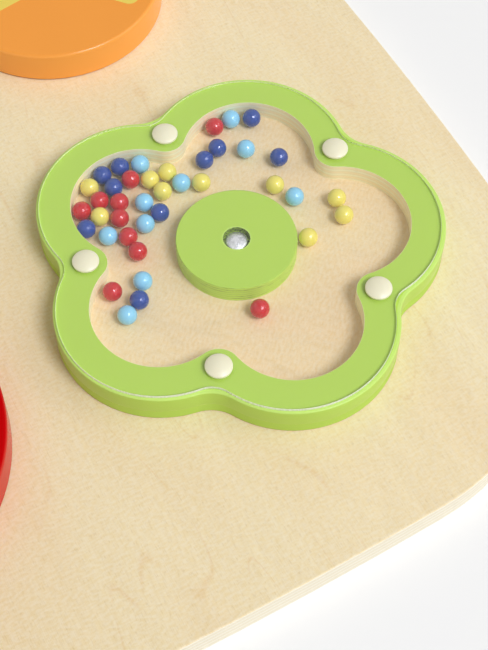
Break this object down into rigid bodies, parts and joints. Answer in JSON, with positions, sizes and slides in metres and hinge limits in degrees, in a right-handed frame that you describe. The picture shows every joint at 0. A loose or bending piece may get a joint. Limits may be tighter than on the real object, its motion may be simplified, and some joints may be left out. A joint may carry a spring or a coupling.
{
  "type": "busy board",
  "caption": "Flat square plywood toy board with rounded corners, a flower-shaped bead wheel under a clear window and plain discs that spin on bolts.",
  "frame": {"origin": "under the middle of the board, on the back face that it rests on", "axes": "+X along the board's width, +Y up its height towards the orange disc, +Z out of its front face"},
  "size_m": [0.411, 0.411, 0.0301],
  "materials": {
    "birch_plywood": "clear satin lacquer",
    "tray_plywood": "bare plywood, green paint on its edge",
    "green_paint_on_wood": "semi-gloss paint",
    "orange_paint_on_wood": "semi-gloss paint",
    "red_paint_on_wood": "gloss paint",
    "yellow_print": "screen print ink",
    "clear_acrylic": "clear, polished",
    "cream_plastic": "satin",
    "polished_steel": "polished",
    "zinc_plated_steel": "satin zinc",
    "red_bead": "gloss",
    "sky_bead": "gloss",
    "navy_bead": "gloss",
    "yellow_bead": "gloss"
  },
  "bodies": {
    "board": {"board_panel": "birch_plywood", "flower_pivot_bolt": "polished_steel", "flower_washer": "zinc_plated_steel", "flower_flanged_nut": "zinc_plated_steel", "orange_pivot_bolt": "polished_steel", "orange_washer": "zinc_plated_steel", "orange_flanged_nut": "zinc_plated_steel", "red_pivot_bolt": "polished_steel", "red_washer": "zinc_plated_steel", "red_flanged_nut": "zinc_plated_steel"},
    "bead_wheel": {"flower_back": "tray_plywood", "flower_ring": "green_paint_on_wood", "flower_hub_disc": "green_paint_on_wood", "flower_window": "clear_acrylic", "window_cap_bases": "cream_plastic", "window_screws": "zinc_plated_steel", "window_cap_1": "cream_plastic", "window_cap_2": "cream_plastic", "window_cap_3": "cream_plastic", "window_cap_4": "cream_plastic", "window_cap_5": "cream_plastic"},
    "orange_disc": {"orange_disc": "orange_paint_on_wood"},
    "red_disc": {"red_disc": "red_paint_on_wood"},
    "bead_pile": {"pile_beads_red": "red_bead", "pile_beads_sky": "sky_bead", "pile_beads_navy": "navy_bead", "pile_beads_yellow": "yellow_bead"},
    "bead_red_right": {"bead_red_right": "red_bead"},
    "bead_red_left": {"bead_red_left": "red_bead"},
    "bead_red_bottom": {"bead_red_bottom": "red_bead"},
    "bead_sky_wall": {"bead_sky_wall": "sky_bead"},
    "bead_sky_right": {"bead_sky_right": "sky_bead"},
    "bead_sky_hub": {"bead_sky_hub": "sky_bead"},
    "bead_sky_left": {"bead_sky_left": "sky_bead"},
    "bead_sky_low": {"bead_sky_low": "sky_bead"},
    "bead_navy_wall": {"bead_navy_wall": "navy_bead"},
    "bead_navy_upper": {"bead_navy_upper": "navy_bead"},
    "bead_navy_inner": {"bead_navy_inner": "navy_bead"},
    "bead_navy_right": {"bead_navy_right": "navy_bead"},
    "bead_navy_left": {"bead_navy_left": "navy_bead"},
    "bead_yellow_upper": {"bead_yellow_upper": "yellow_bead"},
    "bead_yellow_right": {"bead_yellow_right": "yellow_bead"},
    "bead_yellow_low": {"bead_yellow_low": "yellow_bead"},
    "bead_yellow_hub": {"bead_yellow_hub": "yellow_bead"}
  },
  "joints": [
    {"name": "flower_spin", "type": "hinge", "parent": "board", "child": "bead_wheel", "pos_m": [0.089, -0.066, 0.012], "axis": [0, 0, 1], "continuous": true},
    {"name": "orange_spin", "type": "hinge", "parent": "board", "child": "orange_disc", "pos_m": [0.0839, 0.107, 0.012], "axis": [0, 0, 1], "continuous": true},
    {"name": "red_spin", "type": "hinge", "parent": "board", "child": "red_disc", "pos_m": [-0.0932, -0.076, 0.012], "axis": [0, 0, 1], "continuous": true},
    {"name": "roll_red_right", "type": "slide", "parent": "bead_wheel", "child": "bead_red_right", "axis": [-0.9593, -0.2823, 0], "range_m": [0, 0.008]},
    {"name": "roll_red_left", "type": "slide", "parent": "bead_wheel", "child": "bead_red_left", "axis": [0.6896, 0.7242, 0], "range_m": [0, 0.014]},
    {"name": "roll_red_bottom", "type": "slide", "parent": "bead_wheel", "child": "bead_red_bottom", "axis": [0.0244, -0.9997, 0], "range_m": [0, 0.02]},
    {"name": "roll_sky_wall", "type": "slide", "parent": "bead_wheel", "child": "bead_sky_wall", "axis": [0.0244, -0.9997, 0], "range_m": [0, 0.003]},
    {"name": "roll_sky_right", "type": "slide", "parent": "bead_wheel", "child": "bead_sky_right", "axis": [0.2823, -0.9593, 0], "range_m": [0, 0.008]},
    {"name": "roll_sky_hub", "type": "slide", "parent": "bead_wheel", "child": "bead_sky_hub", "axis": [0.2823, -0.9593, 0], "range_m": [0, 0.018]},
    {"name": "roll_sky_left", "type": "slide", "parent": "bead_wheel", "child": "bead_sky_left", "axis": [0.7242, -0.6896, 0], "range_m": [0, 0.02]},
    {"name": "roll_sky_low", "type": "slide", "parent": "bead_wheel", "child": "bead_sky_low", "axis": [-0.8536, -0.521, 0], "range_m": [0, 0.012]},
    {"name": "roll_navy_wall", "type": "slide", "parent": "bead_wheel", "child": "bead_navy_wall", "axis": [0.2823, -0.9593, 0], "range_m": [0, 0.016]},
    {"name": "roll_navy_upper", "type": "slide", "parent": "bead_wheel", "child": "bead_navy_upper", "axis": [0.2823, -0.9593, 0], "range_m": [0, 0.016]},
    {"name": "roll_navy_inner", "type": "slide", "parent": "bead_wheel", "child": "bead_navy_inner", "axis": [0.2823, -0.9593, 0], "range_m": [0, 0.011]},
    {"name": "roll_navy_right", "type": "slide", "parent": "bead_wheel", "child": "bead_navy_right", "axis": [0.2823, -0.9593, 0], "range_m": [0, 0.024]},
    {"name": "roll_navy_left", "type": "slide", "parent": "bead_wheel", "child": "bead_navy_left", "axis": [0.521, -0.8536, 0], "range_m": [0, 0.016]},
    {"name": "roll_yellow_upper", "type": "slide", "parent": "bead_wheel", "child": "bead_yellow_upper", "axis": [-0.878, 0.4787, 0], "range_m": [0, 0.016]},
    {"name": "roll_yellow_right", "type": "slide", "parent": "bead_wheel", "child": "bead_yellow_right", "axis": [0.878, -0.4787, 0], "range_m": [0, 0.02]},
    {"name": "roll_yellow_low", "type": "slide", "parent": "bead_wheel", "child": "bead_yellow_low", "axis": [-0.2351, -0.972, 0], "range_m": [0, 0.02]},
    {"name": "roll_yellow_hub", "type": "slide", "parent": "bead_wheel", "child": "bead_yellow_hub", "axis": [0.521, -0.8536, 0], "range_m": [0, 0.012]},
    {"name": "roll_pile", "type": "slide", "parent": "bead_wheel", "child": "bead_pile", "axis": [0.2823, -0.9593, 0], "range_m": [0, 0.006]}
  ]
}
